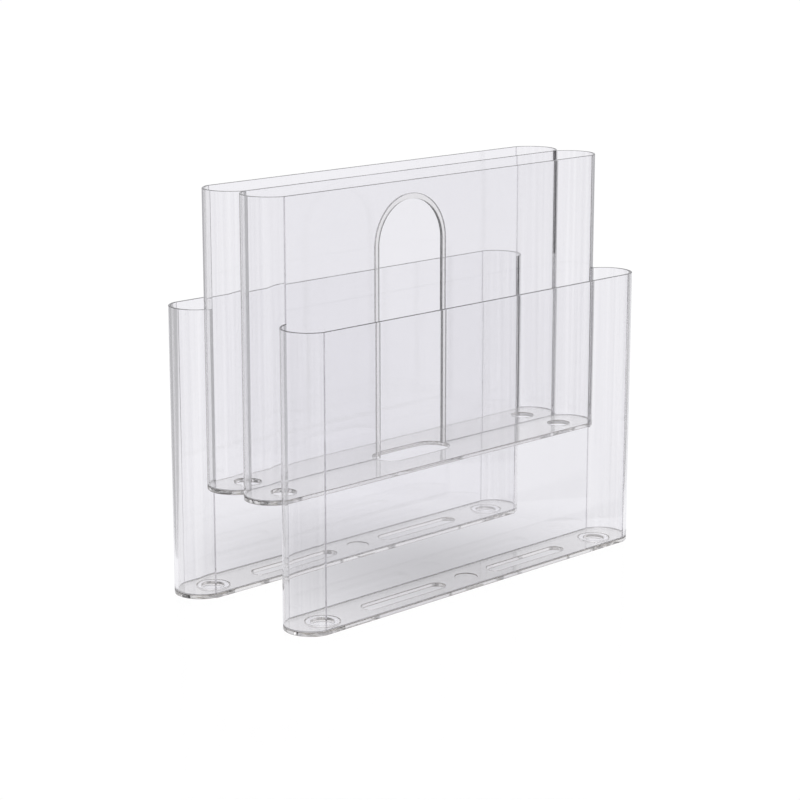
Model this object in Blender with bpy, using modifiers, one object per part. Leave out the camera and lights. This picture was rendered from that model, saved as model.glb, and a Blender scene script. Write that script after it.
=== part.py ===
"""Clear acrylic magazine rack.

Four upright pockets stand side by side. The two inner pockets are raised and taller, and the two
outer ones are low. Flat panes divide the pockets, and a rolled pane closes each end of each pocket.
The panes stand on three floor plates, and the centre pane is cut out as a handle with a beaded rim.
Everything is cemented together, so nothing moves.

Units are metres. X runs along the pockets, Y from the front (-) to the back (+), and Z up. The
origin is on the ground, under the middle of the rack.
"""

import math

import bmesh
import bpy

# Joints and panes
JOINT_GAP = 0.0003  # the cement line between two neighbouring pieces
PANE = 0.0024  # thickness of every upright pane
FLOOR = 0.0035  # thickness of the floor plates
EDGE_ROUND = 0.0005  # width of the polished edges
END_EDGE_ROUND = 0.0004  # the same on the rolled ends, which thin out towards the shared panes

# Plan of the pockets
POCKET_PITCH = 0.045  # from the middle of one dividing pane to the next
CREASE_X = 0.1825  # where the flat panes end and the rolled ends begin
END_BULGE = 0.0188  # how far a rolled end stands out beyond its crease
LOW_Y = 1.5 * POCKET_PITCH  # middle of a low pocket
RAISED_Y = 0.5 * POCKET_PITCH  # middle of a raised pocket

# Heights above the ground
FOOT_DROP = 0.0010  # the foot rings lift the low floors by this much
LOW_FLOOR_TOP = FOOT_DROP + FLOOR
LOW_TOP = FOOT_DROP + 0.2445
RAISED_FLOOR_BOTTOM = FOOT_DROP + 0.0985
RAISED_FLOOR_TOP = RAISED_FLOOR_BOTTOM + FLOOR
RAISED_TOP = FOOT_DROP + 0.3450

# Handle in the centre pane
HANDLE_HALF_WIDTH = 0.0385  # inside the rim
HANDLE_SPRING_Z = FOOT_DROP + 0.2830  # where the legs turn into the arch
RIM_WIDTH = 0.0030
RIM_DEPTH = 0.0050
RIM_ROUND = 0.0008
RIM_SEGMENTS = 2

# Openings in the floors
END_HOLE_X = 0.1670
RAISED_HOLE_RADIUS = 0.0100
HAND_OPENING_HALF_LENGTH = 0.0410
HAND_OPENING_RADIUS = 0.0160
SLOT_X = 0.0750
SLOT_HALF_LENGTH = 0.0465
SLOT_RADIUS = 0.0075
DIMPLE_RADIUS = 0.0100
DIMPLE_DEPTH = 0.0006

# Foot rings
RING_INNER_RADIUS = 0.00925
RING_OUTER_RADIUS = 0.01375
RING_ROUND = 0.0006

# Smoothness
END_STEPS = 24
ARCH_STEPS = 24
HOLE_STEPS = 32
CORNER_STEPS = 1
SHARP_ANGLE = math.radians(35)
WELD = 0.00001
CUTTER_MARGIN = 0.002  # how far a through cutter passes each face

FINISHES = {
    "acrylic_pane": ((0.965, 0.963, 0.985), 0.03),
    "acrylic_end": ((0.960, 0.958, 0.980), 0.03),
    "acrylic_floor": ((0.945, 0.943, 0.965), 0.05),
    "acrylic_rim": ((0.955, 0.953, 0.975), 0.04),
    "acrylic_ring": ((0.930, 0.930, 0.950), 0.06),
}
ACRYLIC_IOR = 1.49


def clear_scene():
    """Remove whatever the file was opened with."""
    for thing in list(bpy.data.objects):
        bpy.data.objects.remove(thing)


def new_collection(name):
    """Add a collection to the scene."""
    collection = bpy.data.collections.new(name)
    bpy.context.scene.collection.children.link(collection)
    return collection


def clear_finish(name):
    """A see-through plastic with the tint and roughness of the table above."""
    tint, roughness = FINISHES[name]
    material = bpy.data.materials.new(name)
    material.use_nodes = True
    shader = material.node_tree.nodes["Principled BSDF"]
    shader.inputs["Base Color"].default_value = (*tint, 1.0)
    shader.inputs["Metallic"].default_value = 0.0
    shader.inputs["Roughness"].default_value = roughness
    shader.inputs["IOR"].default_value = ACRYLIC_IOR
    shader.inputs["Transmission Weight"].default_value = 1.0
    return material


def arc_through(chord_x, tip_x, y_from, y_to, steps):
    """Points of the arc from (chord_x, y_from) over the tip at tip_x to (chord_x, y_to)."""
    rise = abs(tip_x - chord_x)
    half_chord = abs(y_to - y_from) / 2
    radius = (half_chord**2 + rise**2) / (2 * rise)
    side = math.copysign(1, tip_x - chord_x)
    centre_x = tip_x - side * radius
    centre_y = (y_from + y_to) / 2
    half_angle = math.atan2(half_chord, side * (chord_x - centre_x))
    turn = math.copysign(half_angle, y_from - centre_y)
    points = []
    for step in range(steps + 1):
        angle = turn * (1 - 2 * step / steps)
        points.append((centre_x + side * radius * math.cos(angle), centre_y + radius * math.sin(angle)))
    return points


def stadium(half_length, radius, x=0.0, y=0.0):
    """Outline of a slot with round ends, lying along X."""
    points = []
    for side, start in ((1, -math.pi / 2), (-1, math.pi / 2)):
        for step in range(HOLE_STEPS // 2 + 1):
            angle = start + math.pi * step / (HOLE_STEPS // 2)
            middle = x + side * (half_length - radius)
            points.append((middle + radius * math.cos(angle), y + radius * math.sin(angle)))
    return points


def arch(half_width, foot_z):
    """An upside-down U in X and Z, from its left foot over the top to its right foot."""
    points = [(-half_width, foot_z)]
    for step in range(ARCH_STEPS + 1):
        angle = math.pi * (1 - step / ARCH_STEPS)
        points.append((half_width * math.cos(angle), HANDLE_SPRING_Z + half_width * math.sin(angle)))
    points.append((half_width, foot_z))
    return points


def finish_mesh(mesh):
    """Weld the caps, merge the flat triangles, face everything outwards and shade the rounds smooth."""
    shape = bmesh.new()
    shape.from_mesh(mesh)
    bmesh.ops.remove_doubles(shape, verts=shape.verts, dist=WELD)
    bmesh.ops.dissolve_limit(shape, angle_limit=math.radians(0.5), verts=shape.verts, edges=shape.edges)
    bmesh.ops.recalc_face_normals(shape, faces=shape.faces)
    shape.to_mesh(mesh)
    shape.free()
    mesh.shade_smooth()
    mesh.set_sharp_from_angle(angle=SHARP_ANGLE)


def plate(name, outline, thickness, collection):
    """A flat outline given its thickness: a filled 2D curve, extruded both ways, then made a mesh."""
    curve = bpy.data.curves.new(name, "CURVE")
    curve.dimensions = "2D"
    curve.fill_mode = "BOTH"
    curve.extrude = thickness / 2
    spline = curve.splines.new("POLY")
    spline.points.add(len(outline) - 1)
    for point, (x, y) in zip(spline.points, outline):
        point.co = (x, y, 0.0, 1.0)
    spline.use_cyclic_u = True
    guide = bpy.data.objects.new(name + "_outline", curve)
    collection.objects.link(guide)
    evaluated = guide.evaluated_get(bpy.context.evaluated_depsgraph_get())
    mesh = bpy.data.meshes.new_from_object(evaluated)
    bpy.data.objects.remove(guide)
    bpy.data.curves.remove(curve)
    mesh.name = name
    finish_mesh(mesh)
    solid = bpy.data.objects.new(name, mesh)
    collection.objects.link(solid)
    return solid


def lying(solid, z_low, z_high):
    """Put a plate flat, between two heights."""
    solid.location.z = (z_low + z_high) / 2
    return solid


def standing(solid, y):
    """Stand a plate up, so that its outline's second axis becomes Z."""
    solid.rotation_euler.x = math.pi / 2
    solid.location.y = y
    return solid


def dress(solid, finish):
    """Give a piece its one material."""
    solid.data.materials.clear()
    solid.data.materials.append(finish)
    return solid


def round_edges(solid, radius, segments=1):
    """Polish the sharp edges of a piece."""
    bevel = solid.modifiers.new("Polished edges", "BEVEL")
    bevel.width = radius
    bevel.segments = segments
    bevel.limit_method = "ANGLE"
    bevel.angle_limit = SHARP_ANGLE
    return solid


def cut(solid, cutter):
    """Take a cutter out of a piece, and hide the cutter."""
    cutter.hide_render = True
    cutter.display_type = "WIRE"
    boolean = solid.modifiers.new(cutter.name, "BOOLEAN")
    boolean.operation = "DIFFERENCE"
    boolean.solver = "EXACT"
    boolean.object = cutter


def cylinder(name, radius, z_low, z_high, x, y, collection):
    """An upright cylinder between two heights."""
    mesh = bpy.data.meshes.new(name)
    shape = bmesh.new()
    bmesh.ops.create_cone(
        shape, cap_ends=True, segments=HOLE_STEPS, radius1=radius, radius2=radius, depth=z_high - z_low
    )
    shape.to_mesh(mesh)
    shape.free()
    solid = bpy.data.objects.new(name, mesh)
    solid.location = (x, y, (z_low + z_high) / 2)
    collection.objects.link(solid)
    return solid


def flat_pane(name, y_low, y_high, z_low, z_high, finish, collection):
    """A flat pane between the creases."""
    mesh = bpy.data.meshes.new(name)
    shape = bmesh.new()
    bmesh.ops.create_cube(shape, size=1.0)
    length = 2 * CREASE_X - JOINT_GAP
    bmesh.ops.scale(shape, vec=(length, y_high - y_low, z_high - z_low), verts=shape.verts)
    shape.to_mesh(mesh)
    shape.free()
    pane = bpy.data.objects.new(name, mesh)
    pane.location = (0.0, (y_low + y_high) / 2, (z_low + z_high) / 2)
    collection.objects.link(pane)
    dress(pane, finish)
    return round_edges(pane, EDGE_ROUND)


def outer_arc(side, row, low):
    """Outer face of a rolled end in plan. It starts at the face nearer the middle of the rack."""
    inner_plane, outer_plane = (1, 2) if low else (0, 1)
    y_from = row * (inner_plane * POCKET_PITCH + JOINT_GAP / 2)
    y_to = row * (outer_plane * POCKET_PITCH - (0 if low else JOINT_GAP / 2))
    return arc_through(side * (CREASE_X + JOINT_GAP / 2), side * (CREASE_X + END_BULGE), y_from, y_to, END_STEPS)


def inner_arc(side, row, low):
    """Inner face of a rolled end in plan, meeting the inner faces of the flat panes."""
    inner_plane, outer_plane = (1, 2) if low else (0, 1)
    outer_face = PANE if low else PANE / 2
    y_from = row * (inner_plane * POCKET_PITCH + PANE / 2)
    y_to = row * (outer_plane * POCKET_PITCH - outer_face)
    chord_x = side * (CREASE_X + JOINT_GAP / 2)
    return arc_through(chord_x, side * (CREASE_X + END_BULGE - PANE), y_from, y_to, END_STEPS)


def rolled_end(name, side, row, low, finish, collection):
    """The rolled pane that closes one end of one pocket."""
    outline = outer_arc(side, row, low) + inner_arc(side, row, low)[::-1]
    z_low = (LOW_FLOOR_TOP if low else RAISED_FLOOR_TOP) + JOINT_GAP
    z_high = LOW_TOP if low else RAISED_TOP
    end = lying(plate(name, outline, z_high - z_low, collection), z_low, z_high)
    dress(end, finish)
    return round_edges(end, END_EDGE_ROUND)


def low_floor(name, row, finish, collection, cutters):
    """The floor of a low pocket. Its walls stand on it, and so does the tall pane that it shares."""
    under_shared = row * (POCKET_PITCH - PANE / 2)
    strip_end = CREASE_X + JOINT_GAP / 2
    outline = [(strip_end, under_shared)]
    outline += outer_arc(1, row, True)
    outline += outer_arc(-1, row, True)[::-1]
    outline.append((-strip_end, under_shared))
    floor = lying(plate(name, outline, FLOOR, collection), FOOT_DROP, LOW_FLOOR_TOP)
    dress(floor, finish)
    round_edges(floor, EDGE_ROUND)
    below = FOOT_DROP - CUTTER_MARGIN
    above = LOW_FLOOR_TOP + CUTTER_MARGIN
    for side, word in ((-1, "left"), (1, "right")):
        seat = cylinder(
            f"{name}_ring_seat_{word}", RING_OUTER_RADIUS + JOINT_GAP, below, above,
            side * END_HOLE_X, row * LOW_Y, cutters,
        )
        cut(floor, seat)
        shape = stadium(SLOT_HALF_LENGTH, SLOT_RADIUS, side * SLOT_X, row * LOW_Y)
        cut(floor, lying(plate(f"{name}_slot_{word}", shape, above - below, cutters), below, above))
    dimple = cylinder(
        f"{name}_dimple", DIMPLE_RADIUS, LOW_FLOOR_TOP - DIMPLE_DEPTH, above, 0.0, row * LOW_Y, cutters
    )
    cut(floor, dimple)
    return floor


def raised_floor(name, finish, collection, cutters):
    """The one plate under both raised pockets, held between the two tall shared panes."""
    side_y = POCKET_PITCH - PANE / 2 - JOINT_GAP
    shoulder_x = CREASE_X + JOINT_GAP / 2
    outline = []
    for side in (1, -1):
        front = outer_arc(side, -1, False)[::-1]
        back = outer_arc(side, 1, False)
        outline += [(side * shoulder_x, -side * side_y)]
        outline += (front + back) if side > 0 else (front + back)[::-1]
        outline += [(side * shoulder_x, side * side_y)]
    floor = lying(plate(name, outline, FLOOR, collection), RAISED_FLOOR_BOTTOM, RAISED_FLOOR_TOP)
    dress(floor, finish)
    round_edges(floor, EDGE_ROUND)
    below = RAISED_FLOOR_BOTTOM - CUTTER_MARGIN
    above = RAISED_FLOOR_TOP + CUTTER_MARGIN
    for side, side_word in ((-1, "left"), (1, "right")):
        for row, row_word in ((-1, "front"), (1, "back")):
            hole = cylinder(
                f"{name}_hole_{row_word}_{side_word}", RAISED_HOLE_RADIUS, below, above,
                side * END_HOLE_X, row * RAISED_Y, cutters,
            )
            cut(floor, hole)
    shape = stadium(HAND_OPENING_HALF_LENGTH, HAND_OPENING_RADIUS)
    cut(floor, lying(plate(f"{name}_hand_opening", shape, above - below, cutters), below, above))
    return floor


def centre_wall(name, finish, collection):
    """The pane between the raised pockets, with the handle cut out of it down to its lower edge."""
    foot_z = RAISED_FLOOR_TOP + JOINT_GAP
    end_x = CREASE_X - JOINT_GAP / 2
    outline = [(end_x, foot_z), (end_x, RAISED_TOP), (-end_x, RAISED_TOP), (-end_x, foot_z)]
    outline += arch(HANDLE_HALF_WIDTH + RIM_WIDTH + JOINT_GAP, foot_z)
    pane = standing(plate(name, outline, PANE, collection), 0.0)
    dress(pane, finish)
    return round_edges(pane, EDGE_ROUND)


def handle_rim(name, finish, collection):
    """The bead that lines the handle, from the raised floor over the arch and down again."""
    foot_z = RAISED_FLOOR_TOP + JOINT_GAP
    outline = arch(HANDLE_HALF_WIDTH + RIM_WIDTH, foot_z) + arch(HANDLE_HALF_WIDTH, foot_z)[::-1]
    rim = standing(plate(name, outline, RIM_DEPTH, collection), 0.0)
    dress(rim, finish)
    return round_edges(rim, RIM_ROUND, RIM_SEGMENTS)


def ring_profile():
    """Half section of a foot ring: its outer side from the top down, then the bore back up."""
    corners = (
        (RING_OUTER_RADIUS, LOW_FLOOR_TOP, -1, -1, 90),
        (RING_OUTER_RADIUS, 0.0, -1, 1, 0),
        (RING_INNER_RADIUS, 0.0, 1, 1, -90),
        (RING_INNER_RADIUS, LOW_FLOOR_TOP, 1, -1, -180),
    )
    points = []
    for radius, height, inward, upward, start in corners:
        for step in range(CORNER_STEPS + 1):
            angle = math.radians(start - 90 * step / CORNER_STEPS)
            points.append(
                (
                    radius + inward * RING_ROUND + RING_ROUND * math.cos(angle),
                    height + upward * RING_ROUND + RING_ROUND * math.sin(angle),
                )
            )
    return points


def foot_ring(name, side, row, finish, collection):
    """A turned ring, seated in an end hole of a low floor. The rack stands on these."""
    mesh = bpy.data.meshes.new(name)
    profile = ring_profile()
    count = len(profile)
    vertices = [(radius, 0.0, height) for radius, height in profile]
    mesh.from_pydata(vertices, [(i, (i + 1) % count) for i in range(count)], [])
    ring = bpy.data.objects.new(name, mesh)
    ring.location = (side * END_HOLE_X, row * LOW_Y, 0.0)
    collection.objects.link(ring)
    turn = ring.modifiers.new("Turned", "SCREW")
    turn.steps = HOLE_STEPS
    turn.render_steps = HOLE_STEPS
    turn.use_merge_vertices = True
    turn.merge_threshold = WELD
    turn.use_smooth_shade = True
    return dress(ring, finish)


def build():
    """Make every piece of the rack."""
    clear_scene()
    rack = new_collection("magazine_rack")
    cutters = new_collection("cutters")
    finishes = {name: clear_finish(name) for name in FINISHES}
    pane = finishes["acrylic_pane"]
    wall_foot = LOW_FLOOR_TOP + JOINT_GAP
    for row, row_word in ((-1, "front"), (1, "back")):
        outer_faces = sorted((row * (2 * POCKET_PITCH - PANE), row * 2 * POCKET_PITCH))
        flat_pane(f"outer_wall_{row_word}", *outer_faces, wall_foot, LOW_TOP, pane, rack)
        shared_faces = sorted((row * (POCKET_PITCH - PANE / 2), row * (POCKET_PITCH + PANE / 2)))
        flat_pane(f"shared_wall_{row_word}", *shared_faces, wall_foot, RAISED_TOP, pane, rack)
        low_floor(f"low_floor_{row_word}", row, finishes["acrylic_floor"], rack, cutters)
        for side, side_word in ((-1, "left"), (1, "right")):
            place = f"{row_word}_{side_word}"
            rolled_end(f"low_end_{place}", side, row, True, finishes["acrylic_end"], rack)
            rolled_end(f"raised_end_{place}", side, row, False, finishes["acrylic_end"], rack)
            foot_ring(f"foot_ring_{place}", side, row, finishes["acrylic_ring"], rack)
    raised_floor("raised_floor", finishes["acrylic_floor"], rack, cutters)
    centre_wall("centre_wall", pane, rack)
    handle_rim("handle_rim", finishes["acrylic_rim"], rack)


build()
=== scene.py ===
"""Looks of a clear acrylic magazine rack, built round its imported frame.

Each solid of the frame is replaced by a finer piece of the same size, with polished rims and true curves.
Every piece is clear acrylic, so its look comes from its edges, its joints and what stands round it.
Units are metres, in the frame's own axes: X along the pockets, Y from the front to the back, Z up.
"""

import logging
import math
from contextlib import contextmanager
from dataclasses import dataclass, field
from enum import Enum
from typing import Any, Callable, Iterator, Sequence

import bmesh
import bpy
from mathutils import Matrix, Vector


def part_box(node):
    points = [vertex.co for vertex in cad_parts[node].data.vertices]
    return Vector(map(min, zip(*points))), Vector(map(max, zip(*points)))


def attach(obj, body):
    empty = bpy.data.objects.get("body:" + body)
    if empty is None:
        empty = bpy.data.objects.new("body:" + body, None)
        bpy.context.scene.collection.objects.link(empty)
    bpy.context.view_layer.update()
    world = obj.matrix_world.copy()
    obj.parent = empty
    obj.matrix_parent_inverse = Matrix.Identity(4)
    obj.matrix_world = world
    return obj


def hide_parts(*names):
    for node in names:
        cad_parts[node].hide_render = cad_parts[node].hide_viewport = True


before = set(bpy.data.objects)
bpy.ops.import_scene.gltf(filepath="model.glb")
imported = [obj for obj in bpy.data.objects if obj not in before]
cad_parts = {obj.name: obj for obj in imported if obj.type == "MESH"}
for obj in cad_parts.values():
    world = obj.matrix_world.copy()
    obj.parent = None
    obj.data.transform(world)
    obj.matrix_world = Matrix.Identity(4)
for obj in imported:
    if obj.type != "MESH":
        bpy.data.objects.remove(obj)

log = logging.getLogger("magazine_rack")

Point = tuple[float, float]
Outline = list[Point]
Tint = tuple[float, float, float]
Axes = tuple[float, float, float]
FaceTest = Callable[[Vector, Vector], bool]

BODY = "root"
WELD = 0.000002
CEMENT = 0.00001
SMOOTH_ANGLE = math.radians(40)
STAND_UP = Matrix.Rotation(math.pi / 2, 4, "X")
EDGE_MARK = "polished_edge"
EDGE_FACETS = 3
FLAT = 0.95
FACING_DOWN = -0.9
SQUARE_ON = 0.99
WHITE = (1.0, 1.0, 1.0, 1.0)


class Row(Enum):
    """Which half of the rack a piece is in, as the sign of its Y."""

    FRONT = -1
    BACK = 1

    @property
    def word(self) -> str:
        """The half's name, as the nodes spell it."""
        return self.name.lower()


class Side(Enum):
    """Which end of the rack a piece is at, as the sign of its X."""

    LEFT = -1
    RIGHT = 1


class Tier(Enum):
    """Which pockets a piece belongs to."""

    LOW = "low"
    RAISED = "raised"


class Slot(Enum):
    """The record's material slots."""

    PANE = "acrylic_pane"
    END = "acrylic_end"
    FLOOR = "acrylic_floor"
    RIM = "acrylic_rim"
    RING = "acrylic_ring"


# Plan, read off the frame


@dataclass(frozen=True)
class End:
    """One rolled end of one pocket."""

    tier: Tier
    row: Row
    side: Side

    @property
    def name(self) -> str:
        """The name of its piece and of its node."""
        return f"{self.tier.value}_end_{self.row.word}_{self.side.name.lower()}"


@dataclass(frozen=True)
class RackPlan:
    """The sizes that the pieces share.

    Attributes:
        joint_gap: Width of a cement line.
        pane: Thickness of an upright pane.
        pitch: Distance from one dividing pane to the next.
        crease_x: Where the flat panes end and the rolled ends begin.
        tip_x: The farthest reach of a rolled end.
        ground: Height of the low floors' undersides.
        low_floor_top: Height of the low floors' upper faces.
        low_top: Height of the low pockets' rims.
        raised_floor_bottom: Height of the raised floor's underside.
        raised_floor_top: Height of the raised floor's upper face.
        raised_top: Height of the raised pockets' rims.
        handle_outer: Half of the width of the handle's bead, outside.
        handle_depth: Size of the bead from front to back.
        spring_z: Height where the handle's legs turn into its arch.
        ring_x: Distance of a foot ring from the middle, along X.
        ring_y: Distance of a foot ring from the middle, along Y.
        ring_radius: Outer radius of a foot ring.
    """

    joint_gap: float
    pane: float
    pitch: float
    crease_x: float
    tip_x: float
    ground: float
    low_floor_top: float
    low_top: float
    raised_floor_bottom: float
    raised_floor_top: float
    raised_top: float
    handle_outer: float
    handle_depth: float
    spring_z: float
    ring_x: float
    ring_y: float
    ring_radius: float

    @classmethod
    def from_frame(cls) -> "RackPlan":
        """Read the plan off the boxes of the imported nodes.

        Returns:
            The plan, in metres.
        """
        outer_low, outer_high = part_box("outer_wall_back")
        low_floor_low, low_floor_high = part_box("low_floor_back")
        raised_low, raised_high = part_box("raised_floor")
        rim_low, rim_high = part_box("handle_rim")
        ring_low, ring_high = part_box("foot_ring_back_right")
        joint_gap = outer_low.z - low_floor_high.z
        return cls(
            joint_gap=joint_gap,
            pane=outer_high.y - outer_low.y,
            pitch=outer_high.y / 2,
            crease_x=outer_high.x + joint_gap / 2,
            tip_x=low_floor_high.x,
            ground=low_floor_low.z,
            low_floor_top=low_floor_high.z,
            low_top=outer_high.z,
            raised_floor_bottom=raised_low.z,
            raised_floor_top=raised_high.z,
            raised_top=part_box("shared_wall_back")[1].z,
            handle_outer=rim_high.x,
            handle_depth=rim_high.y - rim_low.y,
            spring_z=rim_high.z - rim_high.x,
            ring_x=(ring_low.x + ring_high.x) / 2,
            ring_y=(ring_low.y + ring_high.y) / 2,
            ring_radius=(ring_high.x - ring_low.x) / 2,
        )

    def foot_of(self, tier: Tier) -> float:
        """Height at which the upright panes of a tier stand."""
        return (self.low_floor_top if tier is Tier.LOW else self.raised_floor_top) + self.joint_gap

    def top_of(self, tier: Tier) -> float:
        """Height of a tier's rims."""
        return self.low_top if tier is Tier.LOW else self.raised_top

    def arc(self, end: End, steps: int, inside: bool = False) -> Outline:
        """One face of a rolled end in plan.

        Args:
            end: The end.
            steps: Number of chords.
            inside: Whether to give the inner face, and not the outer one.

        Returns:
            Points from the crease nearer the middle of the rack to the other crease.
        """
        low = end.tier is Tier.LOW
        if inside:
            depth, near, far = self.pane, self.pane / 2, self.pane if low else self.pane / 2
        else:
            depth, near, far = 0.0, self.joint_gap / 2, 0.0 if low else self.joint_gap / 2
        start = self.pitch if low else 0.0
        side, row = end.side.value, end.row.value
        chord_x = side * (self.crease_x + self.joint_gap / 2)
        y_from, y_to = row * (start + near), row * (start + self.pitch - far)
        return arc_through(chord_x, side * (self.tip_x - depth), y_from, y_to, steps)


# Outlines


def arc_through(chord_x: float, tip_x: float, y_from: float, y_to: float, steps: int) -> Outline:
    """Points of the arc that bulges from a chord to a tip.

    Args:
        chord_x: X of both ends of the arc.
        tip_x: X of the arc's tip.
        y_from: Y of its first end.
        y_to: Y of its last end.
        steps: Number of chords that stand for the arc.

    Returns:
        The points, from the first end to the last.
    """
    rise = abs(tip_x - chord_x)
    half_chord = abs(y_to - y_from) / 2
    radius = (half_chord**2 + rise**2) / (2 * rise)
    side = math.copysign(1.0, tip_x - chord_x)
    centre_x = tip_x - side * radius
    centre_y = (y_from + y_to) / 2
    half_angle = math.atan2(half_chord, side * (chord_x - centre_x))
    turn = math.copysign(half_angle, y_from - centre_y)
    points = []
    for step in range(steps + 1):
        angle = turn * (1 - 2 * step / steps)
        points.append((centre_x + side * radius * math.cos(angle), centre_y + radius * math.sin(angle)))
    return points


def circle(radius: float, x: float, y: float, steps: int) -> Outline:
    """Outline of a round hole."""
    turns = [2 * math.pi * step / steps for step in range(steps)]
    return [(x + radius * math.cos(turn), y + radius * math.sin(turn)) for turn in turns]


def stadium(half_length: float, radius: float, x: float, y: float, steps: int) -> Outline:
    """Outline of a slot along X with round ends.

    Args:
        half_length: Half of its full length.
        radius: Radius of its ends.
        x: X of its middle.
        y: Y of its middle.
        steps: Chords in each round end.

    Returns:
        The outline.
    """
    points = []
    for end, start in ((1, -math.pi / 2), (-1, math.pi / 2)):
        centre_x = x + end * (half_length - radius)
        for step in range(steps + 1):
            angle = start + math.pi * step / steps
            points.append((centre_x + radius * math.cos(angle), y + radius * math.sin(angle)))
    return points


def arch(half_width: float, foot_z: float, spring_z: float, steps: int) -> Outline:
    """An upside-down U in X and Z, from its left foot over the top to its right foot.

    Args:
        half_width: Half of its width, and the radius of its arch.
        foot_z: Height of its feet.
        spring_z: Height where the legs turn into the arch.
        steps: Chords in the arch.

    Returns:
        The open outline.
    """
    angles = [math.pi * (1 - step / steps) for step in range(steps + 1)]
    top = [(half_width * math.cos(angle), spring_z + half_width * math.sin(angle)) for angle in angles]
    return [(-half_width, foot_z), *top, (half_width, foot_z)]


# Mesh making


def plain_mesh(worked: bpy.types.Object) -> bpy.types.Mesh:
    """The mesh that an object's curve or modifiers make, as a mesh of its own."""
    graph = bpy.context.evaluated_depsgraph_get()
    return bpy.data.meshes.new_from_object(worked.evaluated_get(graph))


def add_object(name: str, data: Any) -> bpy.types.Object:
    """Put a new object in the scene, at the origin."""
    added = bpy.data.objects.new(name, data)
    bpy.context.scene.collection.objects.link(added)
    return added


@contextmanager
def opened(mesh: bpy.types.Mesh) -> Iterator[bmesh.types.BMesh]:
    """Open a mesh for work on its parts, and put the result back."""
    shape = bmesh.new()
    shape.from_mesh(mesh)
    yield shape
    shape.to_mesh(mesh)
    shape.free()


def close_up(mesh: bpy.types.Mesh) -> None:
    """Merge doubled points and turn every face outwards."""
    with opened(mesh) as shape:
        bmesh.ops.remove_doubles(shape, verts=shape.verts, dist=WELD)
        bmesh.ops.dissolve_degenerate(shape, edges=shape.edges, dist=WELD)
        bmesh.ops.recalc_face_normals(shape, faces=shape.faces)


def saw(mesh: bpy.types.Mesh, x: float, waste: int) -> None:
    """Saw a mesh across at one X and close the cut.

    Args:
        mesh: The mesh, which reaches past the cut.
        x: Where the cut goes.
        waste: 1 to drop what lies towards +X, -1 to drop what lies towards -X.
    """
    with opened(mesh) as shape:
        everything = [*shape.verts, *shape.edges, *shape.faces]
        plane = {"plane_co": (x, 0.0, 0.0), "plane_no": (waste, 0.0, 0.0)}
        cut = bmesh.ops.bisect_plane(shape, geom=everything, dist=WELD, clear_outer=True, **plane)
        rim = [item for item in cut["geom_cut"] if isinstance(item, bmesh.types.BMEdge)]
        bmesh.ops.holes_fill(shape, edges=rim, sides=0)
        bmesh.ops.recalc_face_normals(shape, faces=shape.faces)


def box_mesh(low: Vector, high: Vector) -> bpy.types.Mesh:
    """A closed box between two corners."""
    mesh = bpy.data.meshes.new("box")
    with opened(mesh) as shape:
        bmesh.ops.create_cube(shape, size=1.0)
        for vertex in shape.verts:
            vertex.co = [low[k] + (vertex.co[k] + 0.5) * (high[k] - low[k]) for k in range(3)]
    return mesh


def carved(mesh: bpy.types.Mesh, tool_mesh: bpy.types.Mesh, place: Vector = Vector()) -> bpy.types.Mesh:
    """Take one closed mesh out of another.

    Args:
        mesh: The mesh that loses material.
        tool_mesh: The mesh that is taken away.
        place: Where the second mesh's origin goes.

    Returns:
        The closed result.
    """
    blank, tool = add_object("blank", mesh), add_object("tool", tool_mesh)
    tool.location = place
    cut = blank.modifiers.new("Carve", "BOOLEAN")
    cut.operation = "DIFFERENCE"
    cut.solver = "EXACT"
    cut.object = tool
    bpy.context.view_layer.update()
    result = plain_mesh(blank)
    bpy.data.objects.remove(blank)
    bpy.data.objects.remove(tool)
    close_up(result)
    return result


def rounded_plate(
    outlines: Sequence[Outline], thickness: float, rounding: float, place: Matrix
) -> bpy.types.Mesh:
    """Give flat outlines a thickness and polished edges.

    Args:
        outlines: The outer outline, then those of the holes, in the plate's own plane.
        thickness: Full thickness.
        rounding: Radius of the polished edges.
        place: Where the plate's middle plane goes.

    Returns:
        A closed mesh, in the frame's own coordinates.
    """
    curve = bpy.data.curves.new("plate_outline", "CURVE")
    curve.dimensions = "2D"
    curve.fill_mode = "BOTH"
    curve.extrude = thickness / 2 - rounding
    curve.bevel_depth = rounding
    curve.bevel_resolution = EDGE_FACETS
    curve.offset = -rounding
    for outline in outlines:
        spline = curve.splines.new("POLY")
        spline.points.add(len(outline) - 1)
        for point, (first, second) in zip(spline.points, outline):
            point.co = (first, second, 0.0, 1.0)
        spline.use_cyclic_u = True
    guide = add_object("plate_outline", curve)
    mesh = plain_mesh(guide)
    bpy.data.objects.remove(guide)
    bpy.data.curves.remove(curve)
    mesh.transform(place)
    close_up(mesh)
    return mesh


def lying_plate(outlines: Sequence[Outline], low_z: float, high_z: float, rounding: float) -> bpy.types.Mesh:
    """A rounded plate that lies between two heights."""
    place = Matrix.Translation((0.0, 0.0, (low_z + high_z) / 2))
    return rounded_plate(outlines, high_z - low_z, rounding, place)


# Node benches


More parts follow.
